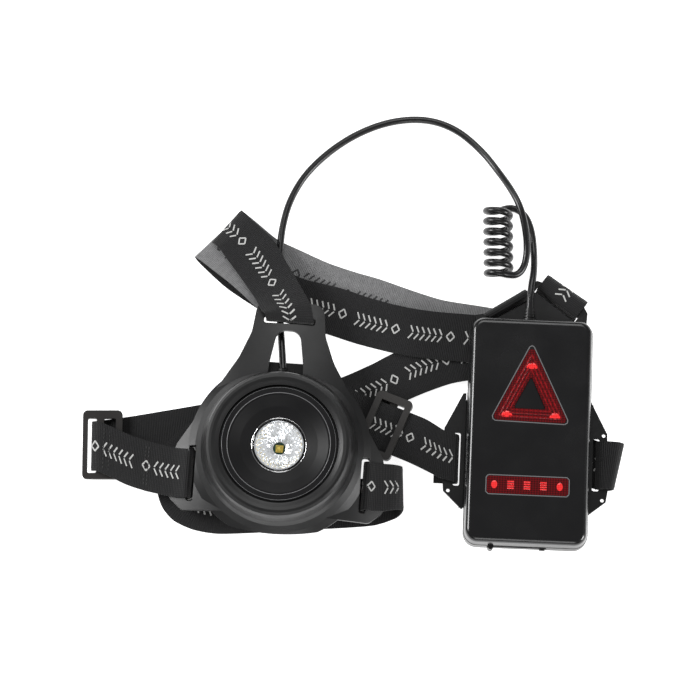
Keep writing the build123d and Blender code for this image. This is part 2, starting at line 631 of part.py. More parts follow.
RIGHT_SIDE_STRAP = [
    # chest plate right slot
    ((13.9, -69.7, 4.6), (15.7, -45.8, 5.6)),
    ((8.9, -69.4, 7.1), (10.7, -45.5, 7.9)),
    ((5.5, -69.2, 8.6), (7.3, -45.2, 9.2)),
    ((4.2, -69.1, 11.6), (6.0, -45.1, 11.6)),
    ((5.0, -69.1, 14.0), (6.8, -45.2, 14.0)),
    ((6.4, -69.2, 14.7), (8.2, -45.3, 14.7)),
    ((9.6, -69.6, 13.2), (10.8, -45.6, 13.2)),
    ((15.0, -69.4, 11.4), (14.8, -45.8, 11.2)),
    # loop to the right, folded under
    ((20.4, -68.4, 9.4), (20.0, -45.8, 8.8)),
    ((24.6, -68.0, 5.4), (24.2, -46.2, 4.8)),
    ((21.4, -71.3, 1.7), (20.4, -48.6, 1.3)),
    ((10.7, -74.8, 0.8), (9.7, -50.9, 0.8)),
    # back to the left under the lower edge of the plate
    ((-6.3, -76.2, 0.6), (-5.8, -52.2, 0.6)),
    ((-28.3, -77.2, 0.6), (-27.6, -53.2, 0.8)),
    ((-48.8, -78.5, 0.6), (-47.1, -54.6, 1.0)),
    ((-66.8, -79.0, 0.6), (-63.3, -55.3, 1.8)),
    ((-78.8, -77.0, 0.7), (-69.8, -54.8, 3.4)),
    ((-88.3, -72.6, 0.9), (-73.3, -54.1, 4.9)),
    ((-93.8, -66.5, 1.2), (-75.3, -52.6, 5.3)),
    ((-96.3, -59.8, 1.5), (-75.6, -50.0, 5.3)),
    ((-97.1, -51.7, 1.8), (-74.6, -46.6, 4.9)),
    ((-95.8, -42.1, 2.1), (-72.6, -43.6, 3.4)),
    ((-91.8, -33.0, 2.1), (-70.2, -41.4, 2.3)),
    # up and across under the lamp
    ((-81.3, -23.9, 2.1), (-66.3, -40.8, 2.1)),
    ((-68.8, -16.7, 2.1), (-56.3, -36.6, 2.1)),
    ((-51.3, -9.5, 2.1), (-44.3, -32.6, 2.1)),
    ((-33.8, -5.2, 2.1), (-30.8, -29.0, 2.1)),
    ((-17.3, -2.9, 2.1), (-18.3, -26.9, 2.1)),
    ((-5.0, -4.8, 2.1), (-12.6, -27.0, 2.1)),
    # straight stretch through the slider
    ((5.9, -9.5, 2.2), (-3.4, -30.9, 2.2)),
    ((35.7, -22.4, 7.2), (26.4, -43.8, 7.2)),
    # pack left wing, into its slot and a short tail back
    ((45.2, -28.6, 9.0), (43.2, -52.4, 9.0)),
    ((49.6, -30.0, 9.1), (48.6, -54.0, 9.1)),
    ((51.5, -30.6, 8.9), (50.5, -54.6, 8.9)),
    ((52.3, -30.8, 7.0), (51.3, -54.8, 7.0)),
    ((51.4, -30.8, 5.1), (50.4, -54.8, 5.1)),
    ((48.0, -30.6, 4.9), (47.0, -54.6, 4.9)),
    ((40.8, -30.2, 4.4), (39.8, -54.2, 4.4)),
]


def along(stations, k):
    a = stations[max(k - 1, 0)]
    b = stations[min(k + 1, len(stations) - 1)]
    return (Vector(*b[0]) + Vector(*b[1])) - (Vector(*a[0]) + Vector(*a[1]))


def web(stations):
    rings = []
    for k, station in enumerate(stations):
        left = Vector(*station[0])
        right = Vector(*station[1])
        up = (right - left).cross(along(stations, k)).normalized() * (WEB_T / 2)
        rings.append([left - up, right - up, right + up, left + up])
    faces = []
    for a, b in zip(rings, rings[1:]):
        for k in range(4):
            m = (k + 1) % 4
            faces.append(Face(Wire.make_polygon([a[k], a[m], b[m]])))
            faces.append(Face(Wire.make_polygon([a[k], b[m], b[k]])))
    for ring in (rings[0], rings[-1]):
        faces.append(Face(Wire.make_polygon([ring[0], ring[1], ring[2]])))
        faces.append(Face(Wire.make_polygon([ring[0], ring[2], ring[3]])))
    body = Solid(Shell(faces))
    return body


def build_left_slider():
    body = Pos(-124.0, -35.0, 2.9) * extrude(RectangleRounded(19.6, 34.6, 2.4), 2.0)
    body = body - Pos(-129.1, -35.5, 0) * extrude(RectangleRounded(4.4, 27.4, 0.8), 9)
    return body - Pos(-120.4, -35.5, 0) * extrude(RectangleRounded(6.0, 27.4, 0.8), 9)


SLIDER_AT = (15.5, -25.8, 4.5)
SLIDER_TURN = -23.4
SLIDER_PITCH = -8.9


def build_right_slider():
    body = block(-9.5, 9.5, -15.9, 16.3, -0.9, 1.9)
    body = fillet(body.edges().filter_by(Axis.Z), 2.4)
    body = body - block(-6.2, 6.2, -12.4, 12.4, -2, 4)
    body = body - block(-20, 20, -12.4, 12.4, -4, 0.9)
    body = body + block(-2.0, 2.0, -14.9, 15.3, -2.1, -0.9)
    place = Location(SLIDER_AT, (0, 0, SLIDER_TURN)) * Location((0, 0, 0), (0, SLIDER_PITCH, 0))
    return solid_of(body.moved(place))


LAMP_CABLE = [
    (-34.5, 1.5, 12.5), (-35.1, 12.8, 9.9), (-36.2, 26.0, 7.2), (-36.8, 42.4, 5.3), (-36.8, 59.9, 4.8),
    (-35.6, 76.5, 3.4), (-31.3, 92.2, 2.1), (-21.8, 107.4, 1.9), (-4.0, 122.4, 1.9), (16.2, 131.6, 2.0),
    (36.2, 133.6, 2.1), (52.2, 128.3, 2.2), (65.4, 116.2, 3.4), (73.6, 104.0, 7.2), (79.0, 94.2, 13.0),
    (83.6, 84.4, 16.2), (86.2, 74.0, 14.8), (87.4, 63.6, 11.6), (86.0, 54.4, 10.6), (78.0, 49.6, 11.2),
]
PACK_CABLE = [
    (73.6, 84.9, 2.4), (80.5, 87.3, 1.9), (86.9, 83.4, 1.9), (90.2, 75.0, 1.9), (91.2, 62.6, 2.6),
    (90.6, 51.4, 9.4), (88.6, 41.6, 12.6), (88.0, 32.4, 12.4),
]


def bend_radii(points):
    radii = []
    for a, b, c in zip(points, points[1:], points[2:]):
        p = Vector(*b) - Vector(*a)
        q = Vector(*c) - Vector(*b)
        half = math.radians(p.get_angle(q)) / 2
        radii.append(round(0.45 * min(p.length, q.length) / math.tan(half), 2))
    return radii


def cable(points):
    radii = bend_radii(points)
    print("bend radii", radii)
    line = FilletPolyline(*points, radius=radii)
    run = Vector(*points[1]) - Vector(*points[0])
    start = Plane(origin=points[0], z_dir=run)
    body = sweep(start * Circle(CABLE_R), path=line)
    print("cable length", round(line.length, 1), "volume ratio", round(body.volume / (math.pi * CABLE_R**2 * line.length), 4))
    return body


def build_cable_coil():
    y0, y1 = COIL_Y
    return Pos(COIL_X, (y0 + y1) / 2, COIL_R) * Rot(90, 0, 0) * Cylinder(COIL_R, y1 - y0)


for name, maker in [
    ("chest_plate", build_chest_plate),
    ("lamp_case", build_lamp_case),
    ("socket_ring", build_socket_ring),
    ("head_shell", build_head_shell),
    ("bezel_ring", build_bezel_ring),
    ("hood", build_hood),
    ("front_lens", build_front_lens),
    ("lens_seal", build_lens_seal),
    ("reflector", build_reflector),
    ("led_board", build_led_board),
    ("led_emitter", build_led_emitter),
    ("heat_sink", build_heat_sink),
    ("pivot_pins", build_pivot_pins),
    ("driver_board", build_driver_board),
    ("tact_switch", build_tact_switch),
    ("power_button", build_power_button),
    ("case_screws", build_case_screws),
    ("case_seal", build_case_seal),
    ("lamp_gland", build_lamp_gland),
]:
    save(name, at_lamp(maker()))

for name, maker in [
    ("back_plate", build_back_plate),
    ("rear_shell", build_rear_shell),
    ("pack_seal", build_pack_seal),
    ("front_cover", build_front_cover),
    ("triangle_lens", build_triangle_lens),
    ("bar_lens", build_bar_lens),
    ("triangle_baffle", build_triangle_baffle),
    ("tail_board", build_tail_board),
    ("triangle_leds", build_triangle_leds),
    ("bar_leds", build_bar_leds),
    ("battery_cell", build_battery_cell),
    ("foam_pad", build_foam_pad),
    ("charge_board", build_charge_board),
    ("usb_socket", build_usb_socket),
    ("usb_cover", build_usb_cover),
    ("pack_screws", build_pack_screws),
    ("pack_gland", build_pack_gland),
]:
    save(name, at_pack(maker()))

save("shoulder_strap", web(SHOULDER_STRAP))
save("left_side_strap", web(LEFT_SIDE_STRAP))
save("right_side_strap", web(RIGHT_SIDE_STRAP))
save("left_slider", build_left_slider())
save("right_slider", build_right_slider())
save("cable_lamp_run", cable(LAMP_CABLE))
save("cable_coil", build_cable_coil())
save("cable_pack_run", cable(PACK_CABLE))
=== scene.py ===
import bpy, bmesh, math
import random
from mathutils import Vector, Matrix


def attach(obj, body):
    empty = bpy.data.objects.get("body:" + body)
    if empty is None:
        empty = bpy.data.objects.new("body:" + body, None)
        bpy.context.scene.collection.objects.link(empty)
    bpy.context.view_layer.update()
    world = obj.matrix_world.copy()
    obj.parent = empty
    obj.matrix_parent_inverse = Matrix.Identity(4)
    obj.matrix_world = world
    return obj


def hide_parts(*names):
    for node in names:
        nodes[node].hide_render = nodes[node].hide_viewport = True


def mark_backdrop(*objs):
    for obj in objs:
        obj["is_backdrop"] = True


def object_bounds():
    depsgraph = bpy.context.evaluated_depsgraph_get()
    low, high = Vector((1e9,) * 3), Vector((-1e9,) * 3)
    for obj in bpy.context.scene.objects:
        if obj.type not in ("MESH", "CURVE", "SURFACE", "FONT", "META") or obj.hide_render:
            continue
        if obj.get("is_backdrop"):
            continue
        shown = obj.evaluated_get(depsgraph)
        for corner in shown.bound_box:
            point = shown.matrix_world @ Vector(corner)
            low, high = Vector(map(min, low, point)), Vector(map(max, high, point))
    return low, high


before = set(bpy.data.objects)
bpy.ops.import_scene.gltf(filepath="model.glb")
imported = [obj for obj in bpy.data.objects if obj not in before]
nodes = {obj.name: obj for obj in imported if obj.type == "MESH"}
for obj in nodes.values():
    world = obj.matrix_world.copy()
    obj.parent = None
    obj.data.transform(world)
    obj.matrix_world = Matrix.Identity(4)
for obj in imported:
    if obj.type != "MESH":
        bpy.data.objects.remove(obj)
lo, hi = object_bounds()
SIZE = {"frame_low": list(lo), "frame_high": list(hi)}
MM = 0.001
OX, OY = 0.3, -1.9
STRAP_W = 24.4
CORD_R = 1.75
PACK_TURN = -2.45


def placed(x, y, turn):
    """Frame of a sub-assembly: its place on the floor in mm and its turn in degrees."""
    place = Matrix.Translation(((x - OX) * MM, (y - OY) * MM, 0))
    return place @ Matrix.Rotation(math.radians(turn), 4, "Z")


LAMP = placed(-36.0, -39.5, -4.2)
PACK = placed(86.5, -30.6, PACK_TURN)
BALL_Z = 23.1


# ---------- camera ----------
EL_DEG = 78
EL = math.radians(EL_DEG)
cam_data = bpy.data.cameras.new("camera")
cam = bpy.data.objects.new("camera", cam_data)
bpy.context.scene.collection.objects.link(cam)
bpy.context.scene.camera = cam
cam_data.lens = 160
cam_data.sensor_width = 36
CAM_D = 0.35 * 160 / 36
AIM = Vector((-OX * MM, (377.2 - 350.0) * 0.5 * MM / math.sin(EL) - OY * MM, 0)) + Vector((-1.35 * MM, 0, 0))
cam.location = AIM + Vector((0, -math.cos(EL), math.sin(EL))) * CAM_D
cam.rotation_euler = (math.radians(90 - EL_DEG), 0, 0)
cam_data.clip_start = 0.05
cam_data.clip_end = 10


SHOULDER_STRAP = [
    # top right slot of the pack, over the bar and round its edge
    ((111.1, 28.5, 7.0), (92.1, 43.3, 7.0)),
    ((111.8, 29.4, 8.9), (92.8, 44.2, 8.9)),
    ((115.9, 34.7, 9.1), (96.4, 48.9, 9.1)),
    ((117.2, 36.4, 7.0), (97.6, 50.5, 7.0)),
    ((115.9, 34.7, 5.0), (96.4, 48.9, 5.0)),
    ((112.1, 29.9, 4.2), (92.5, 44.1, 4.2)),
    ((108.1, 23.5, 3.2), (89.1, 38.4, 3.2)),
    # long back band, inner side up, running to the far left
    ((98.1, 13.8, 2.0), (84.5, 33.7, 2.0)),
    ((84.2, 9.4, 1.0), (79.1, 32.9, 0.9)),
    ((70.0, 10.6, 0.6), (71.5, 34.8, 0.6)),
    ((58.7, 12.2, 0.6), (63.2, 36.3, 0.6)),
    ((39.2, 15.8, 0.6), (45.2, 39.3, 0.6)),
    ((23.2, 20.9, 0.6), (31.2, 43.7, 0.6)),
    ((6.7, 26.6, 0.6), (13.7, 50.0, 0.6)),
    ((-4.8, 30.1, 0.6), (2.2, 53.4, 0.6)),
    ((-20.8, 35.8, 0.6), (-11.8, 58.2, 0.6)),
    ((-35.8, 42.9, 0.6), (-26.3, 64.9, 0.6)),
    ((-52.3, 51.6, 0.6), (-37.8, 70.5, 0.6)),
    ((-63.4, 60.5, 0.6), (-48.6, 79.6, 0.6)),
    # first fold, then the front arm to the chest plate
    ((-70.6, 68.2, 3.4), (-55.8, 85.0, 3.4)),
    ((-67.3, 65.2, 6.2), (-51.8, 80.5, 6.2)),
    ((-62.9, 59.0, 7.2), (-45.0, 74.0, 7.2)),
    ((-58.0, 52.0, 8.4), (-38.8, 67.0, 8.8)),
    ((-52.6, 44.0, 9.8), (-34.0, 58.2, 10.2)),
    ((-48.2, 36.8, 12.6), (-29.0, 49.2, 12.6)),
    ((-45.6, 31.2, 16.4), (-24.6, 40.4, 15.6)),
    ((-43.6, 28.6, 18.4), (-20.6, 32.4, 18.0)),
    # down through the top slot and back under the bar
    ((-42.9, 26.8, 17.0), (-19.4, 25.1, 17.0)),
    ((-42.9, 26.0, 14.4), (-19.4, 24.3, 14.4)),
    ((-43.0, 27.2, 11.4), (-19.4, 25.7, 11.4)),
    ((-44.2, 30.0, 9.6), (-21.4, 33.0, 9.6)),
    # rear arm, inner side up
    ((-48.4, 34.0, 8.7), (-27.6, 43.2, 8.7)),
    ((-54.0, 39.6, 7.9), (-34.8, 52.4, 8.1)),
    ((-61.8, 47.0, 6.4), (-43.4, 61.6, 6.4)),
    ((-70.3, 54.0, 4.9), (-53.0, 70.2, 4.9)),
    ((-76.3, 59.0, 3.6), (-59.3, 75.9, 3.6)),
    ((-79.3, 60.9, 2.8), (-61.5, 78.2, 2.8)),
    ((-76.3, 57.4, 2.1), (-58.3, 74.2, 2.1)),
    # front-side band over the back band, to behind the pack
    ((-61.8, 44.1, 2.1), (-45.8, 62.5, 2.1)),
    ((-38.3, 29.3, 2.1), (-27.3, 50.8, 2.1)),
    ((-14.8, 22.2, 2.1), (-5.8, 45.0, 2.1)),
    ((2.2, 16.5, 2.4), (8.4, 40.0, 2.1)),
    ((19.7, 11.8, 3.4), (26.2, 35.2, 2.7)),
    ((36.7, 8.8, 3.7), (41.2, 32.7, 3.6)),
    ((57.7, 6.9, 3.6), (60.7, 31.0, 3.6)),
    ((70.7, 6.0, 3.6), (71.7, 30.2, 3.6)),
    # turned fold behind the pack
    ((80.8, 6.0, 2.9), (95.2, 28.9, 2.9)),
    ((77.9, 9.8, 2.2), (94.0, 30.3, 2.2)),
    ((72.9, 18.6, 2.2), (92.9, 30.8, 2.2)),
    ((69.9, 24.1, 3.0), (90.3, 36.1, 3.0)),
    # top left loop of the pack
    ((66.6, 29.2, 5.0), (87.3, 41.5, 5.0)),
    ((65.7, 30.7, 7.0), (86.4, 43.0, 7.0)),
    ((66.6, 29.6, 9.0), (87.3, 41.7, 9.0)),
    ((68.6, 28.9, 8.9), (87.9, 40.4, 8.9)),
    ((69.4, 28.6, 7.0), (89.0, 39.3, 7.0)),
]
LEFT_SIDE_STRAP = [
    # chest plate left slot
    ((-88.2, -38.4, 5.6), (-90.0, -62.3, 4.6)),
    ((-83.2, -38.7, 7.9), (-84.9, -62.7, 7.1)),
    ((-79.8, -38.9, 9.2), (-81.5, -62.9, 8.6)),
    ((-78.5, -39.0, 11.6), (-80.2, -63.0, 11.6)),
    ((-79.3, -39.0, 14.0), (-81.0, -63.0, 14.0)),
    ((-80.8, -38.9, 14.7), (-82.5, -62.9, 14.7)),
    ((-84.0, -38.4, 13.0), (-85.7, -62.5, 13.0)),
    ((-88.4, -37.6, 11.2), (-90.2, -61.8, 11.2)),
    # out to the left slider
    ((-100.3, -34.2, 8.9), (-102.0, -58.9, 8.6)),
    ((-109.6, -30.9, 7.9), (-111.6, -55.6, 7.6)),
    ((-118.8, -26.6, 6.9), (-119.8, -51.4, 6.9)),
    ((-125.8, -23.8, 6.5), (-126.1, -48.6, 6.5)),
    ((-128.9, -23.2, 3.9), (-129.0, -48.0, 3.9)),
    ((-125.8, -22.4, 1.4), (-125.8, -47.2, 1.4)),
    # doubled back, straight under the chest plate
    ((-113.3, -20.6, 0.8), (-112.8, -45.2, 0.8)),
    ((-96.3, -17.7, 0.6), (-94.2, -42.5, 0.6)),
    ((-76.8, -14.3, 0.6), (-73.2, -38.8, 0.6)),
    ((-48.8, -9.0, 0.6), (-45.0, -33.5, 0.6)),
    ((-21.3, -4.2, 0.6), (-17.2, -28.4, 0.6)),
    ((-6.3, -0.6, 0.6), (-0.8, -24.4, 0.6)),
    ((9.2, 6.2, 0.9), (18.2, -16.2, 0.9)),
    ((16.2, 9.8, 1.5), (26.2, -12.4, 1.3)),
    ((28.2, 15.4, 2.1), (36.2, -8.2, 2.1)),
    ((43.7, 20.2, 2.1), (49.2, -3.6, 2.1)),
    ((56.7, 22.6, 2.1), (60.2, -2.0, 2.1)),
    # turned down behind the pack to its right wing
    ((65.5, 17.5, 2.1), (61.5, -5.8, 2.0)),
    ((76.2, 3.4, 1.6), (64.8, -16.4, 0.8)),
    ((92.7, -8.6, 0.7), (76.7, -26.8, 0.7)),
    ((103.2, -19.6, 1.2), (88.7, -38.8, 1.2)),
    ((113.0, -28.4, 2.4), (103.5, -50.6, 2.4)),
    ((120.6, -32.8, 3.4), (117.4, -56.4, 3.4)),
    ((126.6, -34.6, 4.8), (124.6, -58.4, 4.8)),
    ((131.4, -34.9, 5.6), (127.2, -58.2, 5.4)),
    ((133.8, -35.0, 7.4), (128.3, -58.0, 7.2)),
    ((131.4, -34.6, 9.4), (127.0, -58.0, 9.2)),
    ((123.0, -34.0, 9.0), (121.9, -58.0, 9.0)),
    ((120.5, -34.2, 7.2), (119.5, -58.0, 7.2)),
]
RIGHT_SIDE_STRAP = [
    # chest plate right slot
    ((13.9, -69.7, 4.6), (15.7, -45.8, 5.6)),
    ((8.9, -69.4, 7.1), (10.7, -45.5, 7.9)),
    ((5.5, -69.2, 8.6), (7.3, -45.2, 9.2)),
    ((4.2, -69.1, 11.6), (6.0, -45.1, 11.6)),
    ((5.0, -69.1, 14.0), (6.8, -45.2, 14.0)),
    ((6.4, -69.2, 14.7), (8.2, -45.3, 14.7)),
    ((9.6, -69.6, 13.2), (10.8, -45.6, 13.2)),
    ((15.0, -69.4, 11.4), (14.8, -45.8, 11.2)),
    # loop to the right, folded under
    ((20.4, -68.4, 9.4), (20.0, -45.8, 8.8)),
    ((24.6, -68.0, 5.4), (24.2, -46.2, 4.8)),
    ((21.4, -71.3, 1.7), (20.4, -48.6, 1.3)),
    ((10.7, -74.8, 0.8), (9.7, -50.9, 0.8)),
    # back to the left under the lower edge of the plate
    ((-6.3, -76.2, 0.6), (-5.8, -52.2, 0.6)),
    ((-28.3, -77.2, 0.6), (-27.6, -53.2, 0.8)),
    ((-48.8, -78.5, 0.6), (-47.1, -54.6, 1.0)),
    ((-66.8, -79.0, 0.6), (-63.3, -55.3, 1.8)),
    ((-78.8, -77.0, 0.7), (-69.8, -54.8, 3.4)),
    ((-88.3, -72.6, 0.9), (-73.3, -54.1, 4.9)),
    ((-93.8, -66.5, 1.2), (-75.3, -52.6, 5.3)),
    ((-96.3, -59.8, 1.5), (-75.6, -50.0, 5.3)),
    ((-97.1, -51.7, 1.8), (-74.6, -46.6, 4.9)),
    ((-95.8, -42.1, 2.1), (-72.6, -43.6, 3.4)),
    ((-91.8, -33.0, 2.1), (-70.2, -41.4, 2.3)),
    # up and across under the lamp
    ((-81.3, -23.9, 2.1), (-66.3, -40.8, 2.1)),
    ((-68.8, -16.7, 2.1), (-56.3, -36.6, 2.1)),
    ((-51.3, -9.5, 2.1), (-44.3, -32.6, 2.1)),
    ((-33.8, -5.2, 2.1), (-30.8, -29.0, 2.1)),
    ((-17.3, -2.9, 2.1), (-18.3, -26.9, 2.1)),
    ((-5.0, -4.8, 2.1), (-12.6, -27.0, 2.1)),
    # straight stretch through the slider
    ((5.9, -9.5, 2.2), (-3.4, -30.9, 2.2)),
    ((35.7, -22.4, 7.2), (26.4, -43.8, 7.2)),
    # pack left wing, into its slot and a short tail back
    ((45.2, -28.6, 9.0), (43.2, -52.4, 9.0)),
    ((49.6, -30.0, 9.1), (48.6, -54.0, 9.1)),
    ((51.5, -30.6, 8.9), (50.5, -54.6, 8.9)),
    ((52.3, -30.8, 7.0), (51.3, -54.8, 7.0)),
    ((51.4, -30.8, 5.1), (50.4, -54.8, 5.1)),
    ((48.0, -30.6, 4.9), (47.0, -54.6, 4.9)),
    ((40.8, -30.2, 4.4), (39.8, -54.2, 4.4)),
]
LAMP_CABLE = [
    (-34.5, 1.5, 12.5), (-35.1, 12.8, 9.9), (-36.2, 26.0, 7.2), (-36.8, 42.4, 5.3), (-36.8, 59.9, 4.8),
    (-35.6, 76.5, 3.4), (-31.3, 92.2, 2.1), (-21.8, 107.4, 1.9), (-4.0, 122.4, 1.9), (16.2, 131.6, 2.0),
    (36.2, 133.6, 2.1), (52.2, 128.3, 2.2), (65.4, 116.2, 3.4), (73.6, 104.0, 7.2), (79.0, 94.2, 13.0),
    (83.6, 84.4, 16.2), (86.2, 74.0, 14.8), (87.4, 63.6, 11.6), (86.0, 54.4, 10.6), (78.0, 49.6, 11.2),
]
PACK_CABLE = [
    (73.6, 84.9, 2.4), (80.5, 87.3, 1.9), (86.9, 83.4, 1.9), (90.2, 75.0, 1.9), (91.2, 62.6, 2.6),
    (90.6, 51.4, 9.4), (88.6, 41.6, 12.6), (88.0, 32.4, 12.4),
]



# ---------- materials ----------
def new_mat(name):
    m = bpy.data.materials.new(name)
    m.use_nodes = True
    return m, m.node_tree.nodes, m.node_tree.links, m.node_tree.nodes["Principled BSDF"]


def plain(name, color, rough, metal=0.0, bump=0.0, scale=2500.0, coat=0.0, spec=0.5, spread=0.05):
    m, n, l, b = new_mat(name)
    tc = n.new("ShaderNodeTexCoord")
    noise = n.new("ShaderNodeTexNoise")
    noise.inputs["Scale"].default_value = scale
    noise.inputs["Detail"].default_value = 4
    l.new(tc.outputs["Object"], noise.inputs["Vector"])
    big = n.new("ShaderNodeTexNoise")
    big.inputs["Scale"].default_value = 60
    big.inputs["Detail"].default_value = 5
    l.new(tc.outputs["Object"], big.inputs["Vector"])
    ramp = n.new("ShaderNodeMapRange")
    ramp.inputs["From Min"].default_value = 0.3
    ramp.inputs["From Max"].default_value = 0.7
    ramp.inputs["To Min"].default_value = rough - spread
    ramp.inputs["To Max"].default_value = rough + spread
    l.new(big.outputs["Fac"], ramp.inputs["Value"])
    l.new(ramp.outputs["Result"], b.inputs["Roughness"])
    b.inputs["Base Color"].default_value = (*color, 1)
    b.inputs["Metallic"].default_value = metal
    b.inputs["Coat Weight"].default_value = coat
    b.inputs["Specular IOR Level"].default_value = spec
    if bump:
        bp = n.new("ShaderNodeBump")
        bp.inputs["Strength"].default_value = bump
        bp.inputs["Distance"].default_value = 0.00008
        l.new(noise.outputs["Fac"], bp.inputs["Height"])
        l.new(bp.outputs["Normal"], b.inputs["Normal"])
    return m


RUBBER = plain("rubber", (0.008, 0.008, 0.0083), 0.40, bump=0.22, scale=3000, spec=0.42)
PLASTIC = plain("plastic", (0.007, 0.007, 0.0073), 0.33, bump=0.25, scale=2600, spec=0.45)
GLOSS = plain("gloss", (0.005, 0.005, 0.0055), 0.24, bump=0.08, scale=2200, coat=0.2, spec=0.45)
HOODM = plain("hood", (0.004, 0.004, 0.0045), 0.46, spec=0.25)
SLIDERM = plain("slider_plastic", (0.022, 0.020, 0.019), 0.34, bump=0.2)
CABLEM = plain("cable_rubber", (0.006, 0.006, 0.0065), 0.30, bump=0.1)
STEEL = plain("steel", (0.6, 0.6, 0.62), 0.3, metal=1)
ALU = plain("aluminium", (0.62, 0.62, 0.64), 0.38, metal=1, bump=0.2)
CELL = plain("foil_pouch", (0.6, 0.62, 0.64), 0.45, metal=0.7, bump=0.3, scale=700)
BOARD = plain("board", (0.01, 0.10, 0.05), 0.4, bump=0.1)
FOAM = plain("foam", (0.05, 0.05, 0.05), 0.9, bump=0.8, scale=1500)
CHROME = plain("chrome", (0.92, 0.92, 0.93), 0.06, metal=1, spread=0.02)
CHROMECUT_PAINTED_GLOW = plain("chrome_cut_painted_glow", (0.95, 0.95, 0.96), 0.05, metal=1, spread=0.02)
# faint white emission on the reflector's cut face: a painted glow standing in for reflected light
CHROMECUT_PAINTED_GLOW.node_tree.nodes["Principled BSDF"].inputs["Emission Color"].default_value = (1, 1, 1, 1)
CHROMECUT_PAINTED_GLOW.node_tree.nodes["Principled BSDF"].inputs["Emission Strength"].default_value = 0.22
LED = plain("led_phosphor", (0.85, 0.62, 0.10), 0.45)
CHIP = plain("red_chip", (0.75, 0.12, 0.08), 0.3)
DARKTHREAD = plain("dark_thread", (0.03, 0.03, 0.03), 0.8, bump=0.5)

GLASS, _, _, gb = new_mat("lens_glass")
gb.inputs["Base Color"].default_value = (0.95, 0.97, 0.98, 1)
gb.inputs["Roughness"].default_value = 0.02
gb.inputs["Transmission Weight"].default_value = 1.0
gb.inputs["IOR"].default_value = 1.45


def red_plastic(name, deep, bright, across, along, glow=0.0):
    """Clear red plastic with a fine ribbed inner face; the ribs follow the pack's own axes. The ribs are
    painted as stripes of a deep and a bright red, which is painted shade and painted highlight; the same
    colour also feeds emission, which is a painted glow.
    """
    m, n, l, b = new_mat(name)
    tc = n.new("ShaderNodeTexCoord")
    turn = n.new("ShaderNodeMapping")
    turn.inputs["Rotation"].default_value = (0, 0, math.radians(-PACK_TURN))
    l.new(tc.outputs["Object"], turn.inputs["Vector"])
    sep = n.new("ShaderNodeSeparateXYZ")
    l.new(turn.outputs["Vector"], sep.inputs["Vector"])
    parts = []
    for axis, pitch in (("X", across), ("Y", along)):
        mul = n.new("ShaderNodeMath")
        mul.operation = "MULTIPLY"
        mul.inputs[1].default_value = 2 * math.pi / (pitch * MM)
        l.new(sep.outputs[axis], mul.inputs[0])
        s = n.new("ShaderNodeMath")
        s.operation = "SINE"
        l.new(mul.outputs[0], s.inputs[0])
        parts.append(s.outputs[0])
    add = n.new("ShaderNodeMath")
    add.operation = "ADD"
    l.new(parts[0], add.inputs[0])
    l.new(parts[1], add.inputs[1])
    rng = n.new("ShaderNodeMapRange")
    rng.inputs["From Min"].default_value = -1.6
    rng.inputs["From Max"].default_value = 1.8
    l.new(add.outputs[0], rng.inputs["Value"])
    # painted shade and highlight: the base colour swings between the deep and the bright red along the sine
    # ribs
    mix = n.new("ShaderNodeMix")
    mix.data_type = "RGBA"
    mix.inputs["A"].default_value = (*deep, 1)
    mix.inputs["B"].default_value = (*bright, 1)
    l.new(rng.outputs["Result"], mix.inputs["Factor"])
    l.new(mix.outputs["Result"], b.inputs["Base Color"])
    # the same striped colour drives emission, a painted glow
    l.new(mix.outputs["Result"], b.inputs["Emission Color"])
    b.inputs["Emission Strength"].default_value = glow
    b.inputs["Roughness"].default_value = 0.16
    b.inputs["Transmission Weight"].default_value = 0.35
    b.inputs["IOR"].default_value = 1.46
    return m


RED = red_plastic("red_lens", (0.045, 0.001, 0.002), (0.20, 0.003, 0.006), 1.3, 1.1)
# brighter red copy with a faint glow for the lens ribs: a painted highlight
RED_RIB_PAINTED_HIGHLIGHT = red_plastic("red_lens_rib_painted_highlight", (0.16, 0.003, 0.005), (0.42, 0.010, 0.014), 2.3, 2.1, 0.05)
# bright red copy with emission for the spots over the lamps: a painted glow
RED_PAINTED_GLOW = red_plastic("red_lens_painted_glow", (0.75, 0.015, 0.018), (0.95, 0.05, 0.05), 0.9, 0.9, 0.35)
# pale grey for thin edges of black parts: a painted highlight
RIM_PAINTED_HIGHLIGHT = plain("window_rim_painted_highlight", (0.16, 0.16, 0.165), 0.3)


